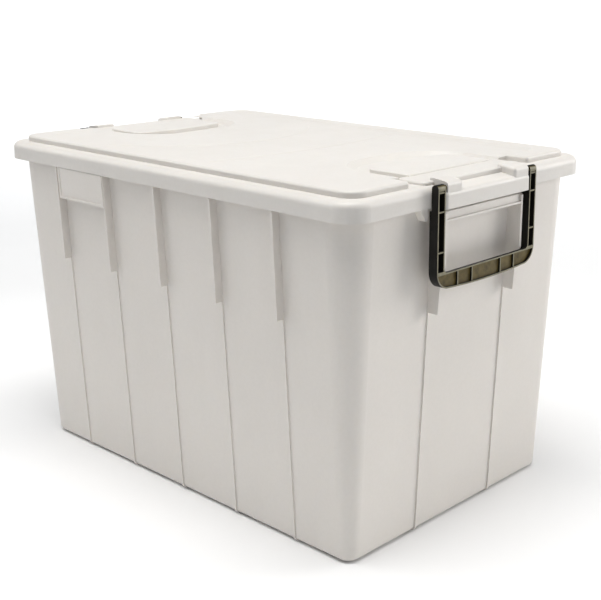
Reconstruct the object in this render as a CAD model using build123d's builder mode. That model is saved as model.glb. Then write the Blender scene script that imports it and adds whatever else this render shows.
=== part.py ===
"""Stacking storage crate: moulded tub, lift-off lid and two swinging end handles.

Millimetres. Origin at the centre of the base, +Z up, +X along the length.
"""
import math
import os

from build123d import *

os.makedirs("parts", exist_ok=True)

# tub
BASE_L, BASE_W, BASE_R = 540.0, 347.0, 15.0  # outline of the walls at the bottom
DRAFT = 2.95  # degrees that every wall leans outward
WALL = 2.5
FOOT_H = 2.0  # the base stands on a low ring
FLOOR_T = 3.0
BASE_FILLET = 6.0
TUB_TOP = 385.0
LIP_L, LIP_W, LIP_R = 593.0, 398.0, 23.5  # turned-down lip of the tub rim
LIP_T, LIP_Z, FLANGE_T = 2.0, 371.0, 3.0

# stiffening plates and ribs on the walls
SIDE_PITCH, SIDE_COUNT = 95.0, 5
END_Y = 67.0
PLATE_T = 3.0
PLATE_FOOT = 256.0  # lower end of the plates, where the thin ribs start
SIDE_TOP_Y, SIDE_FOOT_Y = 202.0, 196.5
CARD_Z = 334.0  # lower edge of the card panel
RIB_W, RIB_H = 2.6, 1.4

# hand-hold housing on each end
HOUSE_X = 305.2  # front of its plates and ridge
HOUSE_Y = END_Y + PLATE_T / 2
RIDGE_Z, RIDGE_H = 355.5, 2.2
HOUSE_TOP_X, HOUSE_SET_Z = 298.0, 368.5  # set back above this height, inside the lid's bump

# lid
RIM_L, RIM_W, RIM_R = 600.0, 405.0, 27.0
SKIRT_Z, FLAT_Z, SHOULDER, SKIN = 372.0, 393.0, 8.0, 2.5
BUMP_X, BUMP_Y, BUMP_Z = 310.5, 73.4, 370.0  # thickened grip edge at each end
LEDGE_X, LEDGE_Z = 290.0, 391.0  # shelf in front of the platform, sloping outward
PANEL_L, PANEL_W, PANEL_R, PANEL_TOP = 572.0, 372.0, 20.0, 400.0
BORDER, STEP_W, FIELD_Z = 25.0, 5.0, 398.4  # raised border around the inner field
TERRACE = 0.6  # each of the two curved steps that rise towards -X
NOTCH_X, NOTCH_Y = 258.0, 102.0
NEST_X, NEST_Y, NEST_R = 150.0, 88.0, 62.0  # outer edge of the moat around the tongue
TONGUE_X, TONGUE_Y, TONGUE_Z, TONGUE_R = 191.0, 69.5, 398.3, 330.0
PLAT_X0, PLAT_X1, PLAT_Y, PLAT_Z = 257.0, 291.0, 84.5, 396.6
BLOCK_X, BLOCK_Y0, BLOCK_Y1, BLOCK_Z = 309.5, 45.5, 70.5, 399.6
UNDER_END_Z, UNDER_SIDE_Z = 385.4, 388.6  # underside of the lid near the ends and between

# handles
PIN_X, PIN_Z, PIN_R = 305.2, 391.8, 2.75
PIN_HOLE_R = PIN_R + 0.1
LEG_Y0, LEG_Y1 = 74.2, 86.0
NECK_Z = 369.0  # the legs are set back less above this height
LEG_BACK, NECK_BACK, BAR_BACK, FRONT = 298.6, 301.0, 305.6, 309.6
BAR_TOP, BAR_END_Z, BAR_MID_Z = 304.0, 288.6, 284.7
WEB_T, CHANNEL_WALL, RIB_T = 1.4, 1.5, 1.6

LEAN = math.tan(math.radians(DRAFT))
ENDS = (1, -1)


def drafted(length, width, radius, z0, z1, base_fillet):
    """Rounded box from z0 to z1 with leaning walls and a rounded bottom edge."""
    with BuildPart() as form:
        with BuildSketch(Plane.XY.offset(z0)):
            RectangleRounded(length, width, radius)
        extrude(amount=z1 - z0, taper=-DRAFT)
        fillet(form.faces().sort_by(Axis.Z)[0].edges(), base_fillet)
    return form.part


def ring(length, width, radius, thick):
    """Rounded rectangular ring, drawn in the sketch that is open."""
    RectangleRounded(length, width, radius)
    RectangleRounded(length - 2 * thick, width - 2 * thick, radius - thick, mode=Mode.SUBTRACT)


def side_outer_y(z):
    """Outer edge of the side plates at height z."""
    t = (z - PLATE_FOOT) / (LIP_Z - PLATE_FOOT)
    return SIDE_FOOT_Y + t * (SIDE_TOP_Y - SIDE_FOOT_Y)


def block(x0, x1, y0, y1, z0, z1, mode=Mode.ADD):
    """Box between two corners, whichever way round they are given."""
    with Locations(((x0 + x1) / 2, (y0 + y1) / 2, z0)):
        Box(abs(x1 - x0), abs(y1 - y0), z1 - z0, align=(Align.CENTER, Align.CENTER, Align.MIN), mode=mode)


def card_strip(s, x0, x1, out, z0, z1, thick):
    """Upright strip of the card panel on side -s, standing out by so much from the side plates."""
    with BuildPart() as strip:
        with BuildSketch(Plane.YZ.offset(min(x0, x1))):
            Polygon((-s * (side_outer_y(z0) + out), z0), (-s * (side_outer_y(z1) + out), z1),
                    (-s * (side_outer_y(z1) - thick), z1), (-s * (side_outer_y(z0) - thick), z0), align=None)
        extrude(amount=abs(x1 - x0))
    add(strip.part)


body = drafted(BASE_L, BASE_W, BASE_R, FOOT_H, TUB_TOP, BASE_FILLET)
inset = 2 * (WALL - FLOOR_T * LEAN)
cavity = drafted(BASE_L - inset, BASE_W - inset, BASE_R - 1, FOOT_H + FLOOR_T, TUB_TOP + 1, BASE_FILLET - 2)
grown = drafted(BASE_L + 2 * RIB_H, BASE_W + 2 * RIB_H, BASE_R + RIB_H,
                FOOT_H - RIB_H, PLATE_FOOT + 4, BASE_FILLET + RIB_H)
side_x = [(i - SIDE_COUNT // 2) * SIDE_PITCH for i in range(SIDE_COUNT)]

with BuildPart() as ribs:
    with BuildSketch(Plane.XY.offset(-1)):
        with Locations(*[(x, 0) for x in side_x]):
            Rectangle(RIB_W, BASE_W + 100)
        with Locations((0, END_Y), (0, -END_Y)):
            Rectangle(BASE_L + 100, RIB_W)
    extrude(amount=PLATE_FOOT + 4)
    add(grown, mode=Mode.INTERSECT)

with BuildPart() as tub:
    add(body)
    add(ribs.part)
    with BuildSketch(Plane.XY):
        ring(BASE_L - 16, BASE_W - 16, BASE_R - 3, 5)
    extrude(amount=FOOT_H + 1)
    # rim: flat flange with a turned-down lip
    with BuildSketch(Plane.XY.offset(TUB_TOP - FLANGE_T)):
        RectangleRounded(LIP_L, LIP_W, LIP_R)
    extrude(amount=FLANGE_T)
    with BuildSketch(Plane.XY.offset(LIP_Z)):
        ring(LIP_L, LIP_W, LIP_R, LIP_T)
    extrude(amount=TUB_TOP - LIP_Z)
    # tapered plates under the rim on both long sides
    for x in side_x:
        for s in ENDS:
            with BuildSketch(Plane.YZ.offset(x - PLATE_T / 2)):
                Polygon((s * 184, PLATE_FOOT), (s * SIDE_FOOT_Y, PLATE_FOOT), (s * SIDE_TOP_Y, LIP_Z),
                        (s * (LIP_W / 2 - 1), LIP_Z), (s * (LIP_W / 2 - 1), TUB_TOP - 1),
                        (s * 184, TUB_TOP - 1), align=None)
            extrude(amount=PLATE_T)
    # card panel between the two plates furthest to the left of each long side
    for s in ENDS:
        x0, x1 = s * side_x[0], s * side_x[1]
        edge = x0 + s * 6
        card_strip(s, x0, edge, -4.0, CARD_Z, LIP_Z + 0.4, 3.0)
        card_strip(s, edge, x1, 0.0, CARD_Z, LIP_Z + 0.4, 4.0)
        # raised frame on three sides
        card_strip(s, edge, x1, 1.0, CARD_Z, CARD_Z + 2.8, 2.0)
        card_strip(s, x1 - s * 4.5, x1, 1.0, CARD_Z, LIP_Z + 0.4, 4.0)
        card_strip(s, edge, edge + s * 2.5, 1.0, CARD_Z, LIP_Z + 0.4, 4.0)
    # end housings: two deep plates, a deck, a flared front band and its ridge
    for s in ENDS:
        for y in (END_Y, -END_Y):
            with BuildSketch(Plane.XZ.offset(-y - PLATE_T / 2)):
                Polygon((s * 280, PLATE_FOOT), (s * 297.3, PLATE_FOOT), (s * 300, 292), (s * 304.6, 305.5),
                        (s * HOUSE_X, RIDGE_Z), (s * HOUSE_X, 364.5), (s * HOUSE_TOP_X, HOUSE_SET_Z),
                        (s * HOUSE_TOP_X, TUB_TOP), (s * 280, TUB_TOP), align=None)
            extrude(amount=PLATE_T)
        block(s * 285, s * HOUSE_TOP_X, -HOUSE_Y, HOUSE_Y, TUB_TOP - FLANGE_T, TUB_TOP)
        with BuildSketch(Plane.XZ.offset(-HOUSE_Y)):
            Polygon((s * 295.8, TUB_TOP), (s * HOUSE_TOP_X, TUB_TOP), (s * HOUSE_TOP_X, HOUSE_SET_Z),
                    (s * 302.4, 365.5), (s * 303.4, RIDGE_Z + RIDGE_H), (s * HOUSE_X, RIDGE_Z + RIDGE_H),
                    (s * HOUSE_X, RIDGE_Z), (s * 301.4, RIDGE_Z), (s * 300, 363.8), (s * 295.8, 366.4),
                    align=None)
        extrude(amount=2 * HOUSE_Y)
        block(s * 290.5, s * 295.8, -END_Y + PLATE_T / 2, END_Y - PLATE_T / 2,
              RIDGE_Z, TUB_TOP - FLANGE_T, mode=Mode.SUBTRACT)
        # slanted lugs beside the handle legs
        for t in ENDS:
            with BuildSketch(Plane.YZ.offset(min(s * 287, s * HOUSE_TOP_X))):
                Polygon((t * 87.5, 359), (t * 91.6, 359), (t * 99, LIP_Z + 0.4), (t * 87.5, LIP_Z + 0.4),
                        align=None)
            extrude(amount=HOUSE_TOP_X - 287)
    add(cavity, mode=Mode.SUBTRACT)

with BuildPart() as panel:
    with BuildSketch(Plane.XY.offset(UNDER_SIDE_Z)) as outline:
        RectangleRounded(PANEL_L, PANEL_W, PANEL_R)
        with Locations(*[(s * (NOTCH_X + 40), 0) for s in ENDS]):
            Rectangle(80, 2 * NOTCH_Y, mode=Mode.SUBTRACT)
        fillet(outline.vertices().filter_by_position(Axis.Y, -NOTCH_Y - 1, NOTCH_Y + 1), 4)
    extrude(amount=PANEL_TOP - UNDER_SIDE_Z)
    fillet(panel.edges().group_by(Axis.Z)[-1], 3)
    # inner field, a soft step below the border
    with BuildSketch(Plane.XY.offset(FIELD_Z)):
        RectangleRounded(PANEL_L - 2 * BORDER - 2 * STEP_W, PANEL_W - 2 * BORDER - 2 * STEP_W, 12)
    with BuildSketch(Plane.XY.offset(PANEL_TOP)):
        RectangleRounded(PANEL_L - 2 * BORDER, PANEL_W - 2 * BORDER, 12 + STEP_W)
    loft(mode=Mode.SUBTRACT)
    # two shallow curved steps across the field
    for level, centre, radius in ((0, -568, 634), (1, -194, 170)):
        with BuildSketch(Plane.XY.offset(FIELD_Z - 0.1 + level * TERRACE)):
            with Locations((-100, 0)):
                Rectangle(360, 330)
            with BuildSketch(mode=Mode.INTERSECT):
                with Locations((centre, 0)):
                    Circle(radius)
                with Locations((-320, 0)):
                    Rectangle(252, 340)
        extrude(amount=TERRACE + 0.1, taper=76)
    # moats around the tongues
    for s in ENDS:
        for sketch_z, x0, half in ((FLAT_Z, NEST_X + 10, NEST_Y - 5), (PANEL_TOP, NEST_X - 1, NEST_Y)):
            with BuildSketch(Plane.XY.offset(sketch_z)) as moat:
                with Locations((s * (x0 + 310) / 2, 0)):
                    Rectangle(310 - x0, 2 * half)
                fillet(moat.vertices().group_by(Axis.X)[0 if s > 0 else -1], NEST_R)
        loft(mode=Mode.SUBTRACT)

with BuildPart() as tongue:
    for s in ENDS:
        with BuildSketch(Plane.XY.offset(UNDER_SIDE_Z)) as shape:
            with Locations((s * (TONGUE_X + PLAT_X0) / 2, 0)):
                Rectangle(PLAT_X0 - TONGUE_X, 2 * TONGUE_Y)
            with Locations((s * (TONGUE_X + TONGUE_R), 0)):
                Circle(TONGUE_R, mode=Mode.INTERSECT)
            fillet(shape.vertices().filter_by_position(Axis.X, *sorted((s * 180, s * 220))), 12)
        extrude(amount=TONGUE_Z - UNDER_SIDE_Z)
    fillet(tongue.edges().group_by(Axis.Z)[-1], 1.2)

with BuildPart() as platform:
    for s in ENDS:
        with BuildSketch(Plane.XY.offset(UNDER_SIDE_Z)):
            with Locations((s * (PLAT_X0 - 4 + PLAT_X1) / 2, 0)):
                RectangleRounded(PLAT_X1 - PLAT_X0 + 4, 2 * PLAT_Y, 5)
        extrude(amount=PLAT_Z - UNDER_SIDE_Z)
    fillet(platform.edges().group_by(Axis.Z)[-1], 2)

with BuildPart() as bump:
    for s in ENDS:
        with BuildSketch(Plane.XZ.offset(-BUMP_Y)) as shelf:
            Polygon((s * 286, BUMP_Z), (s * BUMP_X, BUMP_Z), (s * BUMP_X, 387.6), (s * LEDGE_X, LEDGE_Z),
                    (s * 286, LEDGE_Z), align=None)
            fillet(shelf.vertices().filter_by_position(Axis.Y, 387, 388), 5)
        extrude(amount=2 * BUMP_Y)
    fillet(bump.edges().filter_by(Axis.Z).filter_by(lambda e: abs(e.center().X) > BUMP_X - 1), 4)

with BuildPart() as bearing:
    # blocks that hold the handle pins
    for s in ENDS:
        for t in ENDS:
            with BuildPart() as block_part:
                with BuildSketch(Plane.XZ.offset(-t * (BLOCK_Y0 + BLOCK_Y1) / 2
                                                 - (BLOCK_Y1 - BLOCK_Y0) / 2)) as side:
                    Polygon((s * 286, 386), (s * BLOCK_X, 386), (s * BLOCK_X, 397.2),
                            (s * 292, BLOCK_Z), (s * 286, BLOCK_Z), align=None)
                    fillet(side.vertices().filter_by_position(Axis.Y, 397, 397.5), 4.5)
                extrude(amount=BLOCK_Y1 - BLOCK_Y0)
                fillet(block_part.edges().filter_by(lambda e: e.center().Z > 388
                                                    and abs(e.center().X) > 290
                                                    and abs(abs(e.center().Y) - BLOCK_Y0) < 0.1), 3.5)
            add(block_part.part)
            with BuildSketch(Plane.XZ.offset(-t * 64 - 7)):
                with Locations((s * PIN_X, PIN_Z)):
                    Circle(PIN_HOLE_R)
            extrude(amount=14, mode=Mode.SUBTRACT)

with BuildPart() as hollow:
    with BuildSketch(Plane.XY.offset(BUMP_Z - 1)):
        RectangleRounded(RIM_L - 2 * SKIN, RIM_W - 2 * SKIN, RIM_R - SKIN)
    extrude(amount=UNDER_END_Z - BUMP_Z + 1)
    block(-218, 218, -183, 183, UNDER_END_Z - 1, UNDER_SIDE_Z)
    block(-144, 144, -183, 183, UNDER_SIDE_Z - 1, FIELD_Z - SKIN)
    for s in ENDS:
        block(s * 286, s * (BUMP_X - SKIN), -BUMP_Y + SKIN, BUMP_Y - SKIN, BUMP_Z - 1, UNDER_END_Z)
        for t in ENDS:
            block(s * 143, s * 277, t * 106, t * 177, UNDER_END_Z - 1, FIELD_Z - SKIN)

with BuildPart() as lid:
    with BuildSketch(Plane.XY.offset(SKIRT_Z)):
        RectangleRounded(RIM_L, RIM_W, RIM_R)
    extrude(amount=FLAT_Z - SKIRT_Z)
    fillet(lid.faces().sort_by(Axis.Z)[-1].edges(), SHOULDER)
    for s in ENDS:
        # the shelf is cut through the flat rim
        block(s * LEDGE_X, s * 320, -BUMP_Y, BUMP_Y, 380, 420, mode=Mode.SUBTRACT)
    add(bump.part)
    add(panel.part)
    add(tongue.part)
    add(platform.part)
    add(bearing.part)
    add(hollow.part, mode=Mode.SUBTRACT)


def bail_face(margin):
    """Outline of a handle seen from the end, drawn in by margin all round."""
    with BuildSketch() as face:
        with BuildLine():
            Polyline((-LEG_Y1, BAR_END_Z), (-LEG_Y1, PIN_Z), (LEG_Y1, PIN_Z), (LEG_Y1, BAR_END_Z))
            ThreePointArc((LEG_Y1, BAR_END_Z), (0, BAR_MID_Z), (-LEG_Y1, BAR_END_Z))
        make_face()
        fillet(face.vertices().group_by(Axis.Y)[0], 19)
        if margin:
            offset(amount=-margin, kind=Kind.INTERSECTION)
    with BuildSketch() as window:
        Polygon((-LEG_Y0, BAR_TOP), (LEG_Y0, BAR_TOP), (LEG_Y0, 430), (-LEG_Y0, 430), align=None)
        fillet(window.vertices().group_by(Axis.Y)[0], 5)
        if margin:
            offset(amount=margin, kind=Kind.INTERSECTION)
    return face.sketch - window.sketch


outer_face, groove_face = bail_face(0), bail_face(CHANNEL_WALL)

with BuildPart() as handle_right:
    with BuildSketch(Plane.YZ.offset(LEG_BACK)):
        add(outer_face)
    extrude(amount=FRONT - LEG_BACK)
    # the necks are thinner than the legs, and the bar is thinner still
    block(290, NECK_BACK, -100, 100, NECK_Z, 420, mode=Mode.SUBTRACT)
    block(290, BAR_BACK, -LEG_Y0, LEG_Y0, 270, BAR_TOP + 5, mode=Mode.SUBTRACT)
    # channels open to the outside, closed again by cross ribs
    with BuildSketch(Plane.YZ.offset(BAR_BACK + WEB_T)):
        add(groove_face)
        with Locations((0, 400)):
            Rectangle(200, 2 * (400 - BAR_TOP + CHANNEL_WALL), mode=Mode.SUBTRACT)
    extrude(amount=20, mode=Mode.SUBTRACT)
    with BuildSketch(Plane.YZ.offset(NECK_BACK + WEB_T)):
        add(groove_face)
        with Locations((0, 240)):
            Rectangle(200, 2 * (BAR_TOP + 2 - 240), mode=Mode.SUBTRACT)
    extrude(amount=20, mode=Mode.SUBTRACT)
    for y in (-51, -26.5, 24, 48.5):
        block(BAR_BACK, FRONT - 0.4, y - RIB_T / 2, y + RIB_T / 2, 286, BAR_TOP - 1)
    for t in ENDS:
        for z in (326.5, NECK_Z - 0.8, PIN_Z - 3.8):
            block(NECK_BACK, FRONT - 0.4, t * (LEG_Y0 + 1), t * (LEG_Y1 - 1), z - RIB_T / 2, z + RIB_T / 2)
        # rounded head and the pin that points inwards
        with BuildSketch(Plane.XZ.offset(-t * (LEG_Y0 + LEG_Y1) / 2 - (LEG_Y1 - LEG_Y0) / 2)):
            with Locations((PIN_X, PIN_Z)):
                Circle(FRONT - PIN_X - 0.1)
        extrude(amount=LEG_Y1 - LEG_Y0)
        with BuildSketch(Plane.XZ.offset(-t * 68.5 - 10)):
            with Locations((PIN_X, PIN_Z)):
                Circle(PIN_R)
        extrude(amount=20)

with BuildPart() as handle_left:
    add(handle_right.part.rotate(Axis.Z, 180))

for name, sub in (("tub", tub), ("lid", lid), ("handle_right", handle_right), ("handle_left", handle_left)):
    sub.part.label = name
    export_step(sub.part, f"parts/{name}.step")
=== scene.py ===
"""Looks of a stacking storage crate: pale moulded tub and lid, dark swinging end handles."""
import math

import bmesh
import bpy
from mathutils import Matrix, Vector


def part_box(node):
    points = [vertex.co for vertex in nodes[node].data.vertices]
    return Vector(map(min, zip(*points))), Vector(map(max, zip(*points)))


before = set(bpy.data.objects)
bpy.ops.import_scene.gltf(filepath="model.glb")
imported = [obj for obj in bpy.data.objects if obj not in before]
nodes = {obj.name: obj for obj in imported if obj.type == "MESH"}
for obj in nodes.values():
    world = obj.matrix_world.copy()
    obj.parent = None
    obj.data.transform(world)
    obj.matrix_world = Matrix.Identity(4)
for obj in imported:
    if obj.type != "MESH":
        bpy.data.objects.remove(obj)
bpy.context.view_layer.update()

# Plastics: colours are linear RGB, lengths are metres.
TUB_TINT, TUB_PALE = (0.70, 0.664, 0.620), (0.745, 0.708, 0.664)
LID_TINT, LID_PALE = (0.660, 0.632, 0.595), (0.705, 0.677, 0.639)
BLACK, BLACK_PALE = (0.006, 0.006, 0.005), (0.012, 0.011, 0.009)
# Handle outward faces: KHAKI is painted light on the lit flanges and ribs, OLIVE is painted shade on the
# channel floors
KHAKI, KHAKI_PALE = (0.17, 0.155, 0.102), (0.26, 0.24, 0.165)
OLIVE, OLIVE_PALE = (0.065, 0.047, 0.012), (0.135, 0.10, 0.029)
ROUGHNESS = 0.42
CRATE_GRAIN, HANDLE_GRAIN = 0.35, 0.5  # strength of the moulded grain
CRATE_WEAR, HANDLE_WEAR = 0.5, 0.1  # how pale the rubbed edges get
CRATE_SPECULAR, HANDLE_SPECULAR = 0.45, 0.2
GLOW_WEIGHT, GLOW_REACH = 0.08, (0.004, 0.003, 0.002)
# noise scales, from the broadest pattern to the finest
DRIFT, WAVES, STREAKS, SHEEN, SCUFFS, FRONT_TONE, MOTTLE, GRAIN = 7, 9, 14, 22, 90, 120, 260, 1500
DRIFT_SHARE, STREAK_SHARE, MOTTLE_SHARE = 0.45, 0.3, 0.25
STREAK_STRETCH = (1, 1, 0.12)  # long streaks that run up the walls
GRAIN_DEPTH, WAVE_DEPTH, WAVE_STRENGTH = 0.00012, 0.0009, 0.25
RUB_RADIUS, RUB_GLOSS = 0.0012, 0.08
# depth behind the front plane where a handle's painted light gives way to the channel's painted shade
FLANGE_FROM, FLANGE_FULL = 0.0012, 0.0007  # behind a handle's front plane
EDGE_BREAK, EDGE_BREAK_ANGLE = 0.0004, math.radians(40)

# Studio: metres, watts, degrees.
MIDDLE = (0, 0, 0.2)
SKY, SKY_POWER = (0.80, 0.88, 1.0), 0.17
PAPER, PAPER_PALE, PAPER_SCALE = (0.90, 0.90, 0.90), (0.92, 0.92, 0.92), 3
FLOOR_RADIUS, FLOOR_CURVE, WALL_HEIGHT = 4.0, 1.0, 1.3
FLOOR_SIDES, FLOOR_CURVE_STEPS = 72, 12
LAMPS = (  # name, place, target, size, power, colour
    ("overhead", (0.2, -0.35, 2.6), MIDDLE, (1.8, 1.8), 66, (1, 0.99, 0.97)),
    ("long_high", (-1.9, -1.5, 1.9), MIDDLE, (1.4, 1.2), 18, (1, 0.98, 0.95)),
    ("end_side", (1.7, 2.5, 1.0), MIDDLE, (1.6, 1.4), 50, (1, 0.98, 0.95)),
    ("backdrop", (-1.7, 1.85, 2.2), (-3.4, 3.7, 0.2), (3.0, 0.8), 90, (1, 1, 1)),
)
CAM_PLACE = (0.9911, -0.9503, 0.6029)
CAM_YAW, CAM_PITCH = 42.87, 13.81  # to the left of +Y, and down
CAM_LENS, CAM_SENSOR = 67.6, 36.0  # mm
CAM_SHIFT, CAM_RANGE = (-0.081, -0.087), (0.05, 50)


# ---------------------------------------------------------------- node helpers
def new_material(name):
    """Empty node material with one Principled shader; returns (material, tree, shader)."""
    mat = bpy.data.materials.new(name)
    mat.use_nodes = True
    tree = mat.node_tree
    tree.nodes.clear()
    out = tree.nodes.new("ShaderNodeOutputMaterial")
    shader = tree.nodes.new("ShaderNodeBsdfPrincipled")
    tree.links.new(shader.outputs["BSDF"], out.inputs["Surface"])
    return mat, tree, shader


def object_coords(tree):
    return tree.nodes.new("ShaderNodeTexCoord").outputs["Object"]


def noise(tree, coords, scale, detail=2.0, rough=0.5, stretch=(1, 1, 1)):
    """Noise of the given scale, stretched along the axes, as a 0..1 value."""
    mapping = tree.nodes.new("ShaderNodeMapping")
    mapping.inputs["Scale"].default_value = stretch
    tree.links.new(coords, mapping.inputs["Vector"])
    node = tree.nodes.new("ShaderNodeTexNoise")
    node.inputs["Scale"].default_value = scale
    node.inputs["Detail"].default_value = detail
    node.inputs["Roughness"].default_value = rough
    tree.links.new(mapping.outputs["Vector"], node.inputs["Vector"])
    return node.outputs["Fac"]


def remap(tree, value, lo, hi, out_lo, out_hi):
    """Linear map of value from lo..hi to out_lo..out_hi, clamped."""
    node = tree.nodes.new("ShaderNodeMapRange")
    node.clamp = True
    for name, number in zip(("From Min", "From Max", "To Min", "To Max"), (lo, hi, out_lo, out_hi)):
        node.inputs[name].default_value = number
    tree.links.new(value, node.inputs["Value"])
    return node.outputs["Result"]


def mix_color(tree, factor, a, b):
    """Blend of two colours (or sockets) by a factor socket."""
    node = tree.nodes.new("ShaderNodeMix")
    node.data_type = "RGBA"
    tree.links.new(factor, node.inputs["Factor"])
    for socket, value in ((node.inputs[6], a), (node.inputs[7], b)):
        if isinstance(value, tuple):
            socket.default_value = (*value, 1.0)
        else:
            tree.links.new(value, socket)
    return node.outputs[2]


def math_node(tree, operation, a, b):
    node = tree.nodes.new("ShaderNodeMath")
    node.operation = operation
    for socket, value in zip(node.inputs, (a, b)):
        if isinstance(value, (int, float)):
            socket.default_value = value
        else:
            tree.links.new(value, socket)
    return node.outputs[0]


def bump(tree, height, distance, strength, normal=None):
    node = tree.nodes.new("ShaderNodeBump")
    node.inputs["Distance"].default_value = distance
    node.inputs["Strength"].default_value = strength
    tree.links.new(height, node.inputs["Height"])
    if normal is not None:
        tree.links.new(normal, node.inputs["Normal"])
    return node.outputs["Normal"]


def edge_mask(tree, radius):
    """1 on worn convex edges and in tight corners, 0 on open faces."""
    rounded = tree.nodes.new("ShaderNodeBevel")
    rounded.samples = 4
    rounded.inputs["Radius"].default_value = radius
    geometry = tree.nodes.new("ShaderNodeNewGeometry")
    dot = tree.nodes.new("ShaderNodeVectorMath")
    dot.operation = "DOT_PRODUCT"
    tree.links.new(rounded.outputs["Normal"], dot.inputs[0])
    tree.links.new(geometry.outputs["Normal"], dot.inputs[1])
    return remap(tree, dot.outputs["Value"], 0.98, 0.75, 0.0, 1.0)


# ---------------------------------------------------------------- materials
def moulded_plastic(name, base, pale, specular, grain, wear):
    """Injection-moulded plastic: fine spark-eroded grain, faint flow streaks, rubbed edges."""
    mat, tree, shader = new_material(name)
    coords = object_coords(tree)
    drift = remap(tree, noise(tree, coords, DRIFT, 3), 0.3, 0.7, 0, 1)
    streak = remap(tree, noise(tree, coords, STREAKS, 3, 0.6, STREAK_STRETCH), 0.35, 0.7, 0, 1)
    mottle = remap(tree, noise(tree, coords, MOTTLE, 2), 0.35, 0.65, 0, 1)
    tint = math_node(tree, "ADD", math_node(tree, "MULTIPLY", drift, DRIFT_SHARE),
                     math_node(tree, "ADD", math_node(tree, "MULTIPLY", streak, STREAK_SHARE),
                               math_node(tree, "MULTIPLY", mottle, MOTTLE_SHARE)))
    colour = mix_color(tree, tint, base, pale)
    edges = edge_mask(tree, RUB_RADIUS)
    scuffs = remap(tree, noise(tree, coords, SCUFFS, 4, 0.65), 0.45, 0.62, 0, 1)
    rubbed = math_node(tree, "MULTIPLY", edges, math_node(tree, "MULTIPLY", scuffs, wear))
    light = tuple(min(1.0, c * 1.25 + 0.02) for c in pale)
    tree.links.new(mix_color(tree, rubbed, colour, light), shader.inputs["Base Color"])
    rough = remap(tree, noise(tree, coords, SHEEN, 4, 0.6), 0.3, 0.7, ROUGHNESS - 0.05, ROUGHNESS + 0.06)
    tree.links.new(math_node(tree, "SUBTRACT", rough, math_node(tree, "MULTIPLY", edges, RUB_GLOSS)),
                   shader.inputs["Roughness"])
    shader.inputs["Specular IOR Level"].default_value = specular
    fine = bump(tree, noise(tree, coords, GRAIN, 2), GRAIN_DEPTH, grain)
    wavy = bump(tree, noise(tree, coords, WAVES, 1), WAVE_DEPTH, WAVE_STRENGTH, fine)
    tree.links.new(wavy, shader.inputs["Normal"])
    return mat, tree, shader


def along_length(tree):
    """Distance from the middle of the crate along its length, whichever end."""
    split = tree.nodes.new("ShaderNodeSeparateXYZ")
    tree.links.new(object_coords(tree), split.inputs[0])
    return math_node(tree, "ABSOLUTE", split.outputs["X"], 0)


def lit_face_mask(tree):
    """Painted-light mask: 1 on faces that look along the length of the crate, which take the lit colour, 0
    on the sides of a handle, left in shaded black.
    """
    split = tree.nodes.new("ShaderNodeSeparateXYZ")
    tree.links.new(tree.nodes.new("ShaderNodeTexCoord").outputs["Normal"], split.inputs[0])
    return remap(tree, math_node(tree, "ABSOLUTE", split.outputs["X"], 0), 0.45, 0.85, 0.0, 1.0)


def crate_plastic(name, base, pale):
    """Pale tub or lid plastic that lets a little light in."""
    mat, tree, shader = moulded_plastic(name, base, pale, CRATE_SPECULAR, CRATE_GRAIN, CRATE_WEAR)
    shader.inputs["Subsurface Weight"].default_value = GLOW_WEIGHT
    shader.inputs["Subsurface Radius"].default_value = GLOW_REACH
    return mat


def handle_plastic(name):
    """Black plastic whose outward faces carry painted light: lit khaki on the flanges and ribs, olive
    painted shade on the channel floors.
    """
    mat, tree, shader = moulded_plastic(name, BLACK, BLACK_PALE, HANDLE_SPECULAR, HANDLE_GRAIN, HANDLE_WEAR)
    # random tone across the painted light on the outward faces
    front_tone = remap(tree, noise(tree, object_coords(tree), FRONT_TONE, 4, 0.6), 0.3, 0.7, 0.0, 1.0)
    flange = mix_color(tree, front_tone, KHAKI, KHAKI_PALE)
    channel = mix_color(tree, front_tone, OLIVE, OLIVE_PALE)
    front_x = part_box("handle_right")[1].x
    front = remap(tree, along_length(tree), front_x - FLANGE_FROM, front_x - FLANGE_FULL, 0.0, 1.0)
    # painted light: lit khaki within about a millimetre of the front plane, olive painted shade on the
    # channel floors behind it; the sides keep the plain black
    outer = mix_color(tree, front, channel, flange)
    plain_black = shader.inputs["Base Color"].links[0].from_socket
    tree.links.new(mix_color(tree, lit_face_mask(tree), plain_black, outer), shader.inputs["Base Color"])
    return mat


handle_finish = handle_plastic("handle_plastic")
finish = {
    "tub": crate_plastic("tub_plastic", TUB_TINT, TUB_PALE),
    "lid": crate_plastic("lid_plastic", LID_TINT, LID_PALE),
    "handle_right": handle_finish,
    "handle_left": handle_finish,
}


# ---------------------------------------------------------------- CAD pieces
def dress(node, material):
    """Give a CAD node its plastic and break its sharp moulded edges."""
    piece = nodes[node]
    piece.data.materials.clear()
    piece.data.materials.append(material)
    soften = piece.modifiers.new("edge_break", "BEVEL")
    soften.width = EDGE_BREAK
    soften.segments = 2
    soften.limit_method = "ANGLE"
    soften.angle_limit = EDGE_BREAK_ANGLE
    soften.harden_normals = False
    soften.use_clamp_overlap = True


for node, material in finish.items():
    dress(node, material)


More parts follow.
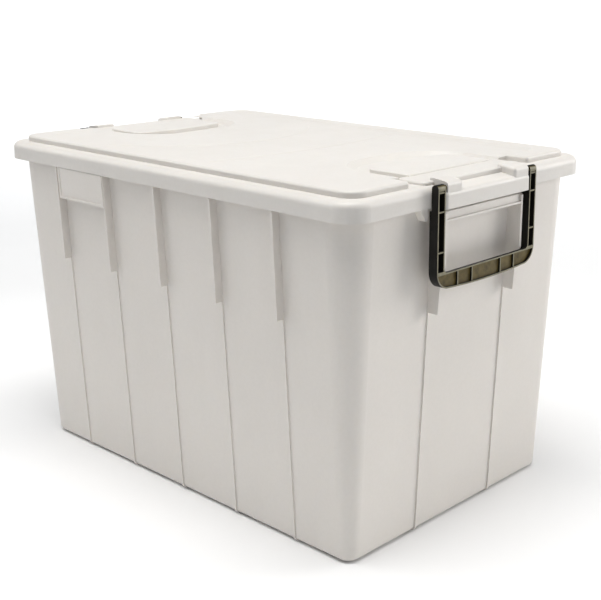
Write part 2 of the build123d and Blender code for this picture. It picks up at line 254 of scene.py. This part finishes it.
# ---------------------------------------------------------------- floor, light, camera
def backdrop():
    """Pale seamless floor that curves up all round, far from the object."""
    profile = []
    for i in range(FLOOR_CURVE_STEPS + 1):
        a = math.radians(90 * i / FLOOR_CURVE_STEPS)
        profile.append((FLOOR_RADIUS + FLOOR_CURVE * math.sin(a), FLOOR_CURVE * (1 - math.cos(a))))
    profile.append((FLOOR_RADIUS + FLOOR_CURVE, WALL_HEIGHT))
    shell = bmesh.new()
    rings = []
    for radius, up in profile:
        turn = [2 * math.pi * k / FLOOR_SIDES for k in range(FLOOR_SIDES)]
        rings.append([shell.verts.new((radius * math.cos(t), radius * math.sin(t), up)) for t in turn])
    shell.faces.new(rings[0])
    for low, high in zip(rings, rings[1:]):
        for k in range(FLOOR_SIDES):
            n = (k + 1) % FLOOR_SIDES
            shell.faces.new((low[k], high[k], high[n], low[n]))
    mesh = bpy.data.meshes.new("studio_floor")
    shell.to_mesh(mesh)
    shell.free()
    for poly in mesh.polygons:
        poly.use_smooth = True
    floor = bpy.data.objects.new("studio_floor", mesh)
    bpy.context.scene.collection.objects.link(floor)
    mat, tree, shader = new_material("studio_white")
    paper = remap(tree, noise(tree, object_coords(tree), PAPER_SCALE, 2), 0.3, 0.7, 0, 1)
    tree.links.new(mix_color(tree, paper, PAPER, PAPER_PALE), shader.inputs["Base Color"])
    shader.inputs["Roughness"].default_value = 0.9
    mesh.materials.append(mat)


def softbox(name, place, target, size, power, colour):
    """Rectangular area lamp that looks from place to target."""
    light = bpy.data.lights.new(name, "AREA")
    light.shape = "RECTANGLE"
    light.size, light.size_y = size
    light.energy = power
    light.color = colour
    lamp = bpy.data.objects.new(name, light)
    lamp.location = place
    lamp.rotation_euler = (Vector(target) - Vector(place)).to_track_quat("-Z", "Y").to_euler()
    bpy.context.scene.collection.objects.link(lamp)


def camera():
    """Camera at the catalogue view: from above one corner, with the +X end on the right."""
    data = bpy.data.cameras.new("camera")
    data.lens, data.sensor_width, data.sensor_fit = CAM_LENS, CAM_SENSOR, "HORIZONTAL"
    data.shift_x, data.shift_y = CAM_SHIFT
    data.clip_start, data.clip_end = CAM_RANGE
    eye = bpy.data.objects.new("camera", data)
    eye.location = CAM_PLACE
    eye.rotation_euler = (math.radians(90 - CAM_PITCH), 0, math.radians(CAM_YAW))
    bpy.context.scene.collection.objects.link(eye)
    bpy.context.scene.camera = eye


def studio():
    """Pale sky and the soft lamps."""
    world = bpy.data.worlds.new("studio")
    world.use_nodes = True
    sky = world.node_tree.nodes["Background"]
    sky.inputs["Color"].default_value = (*SKY, 1)
    sky.inputs["Strength"].default_value = SKY_POWER
    bpy.context.scene.world = world
    bpy.context.scene.view_settings.view_transform = "Standard"
    for lamp in LAMPS:
        softbox(*lamp)


backdrop()
camera()
studio()
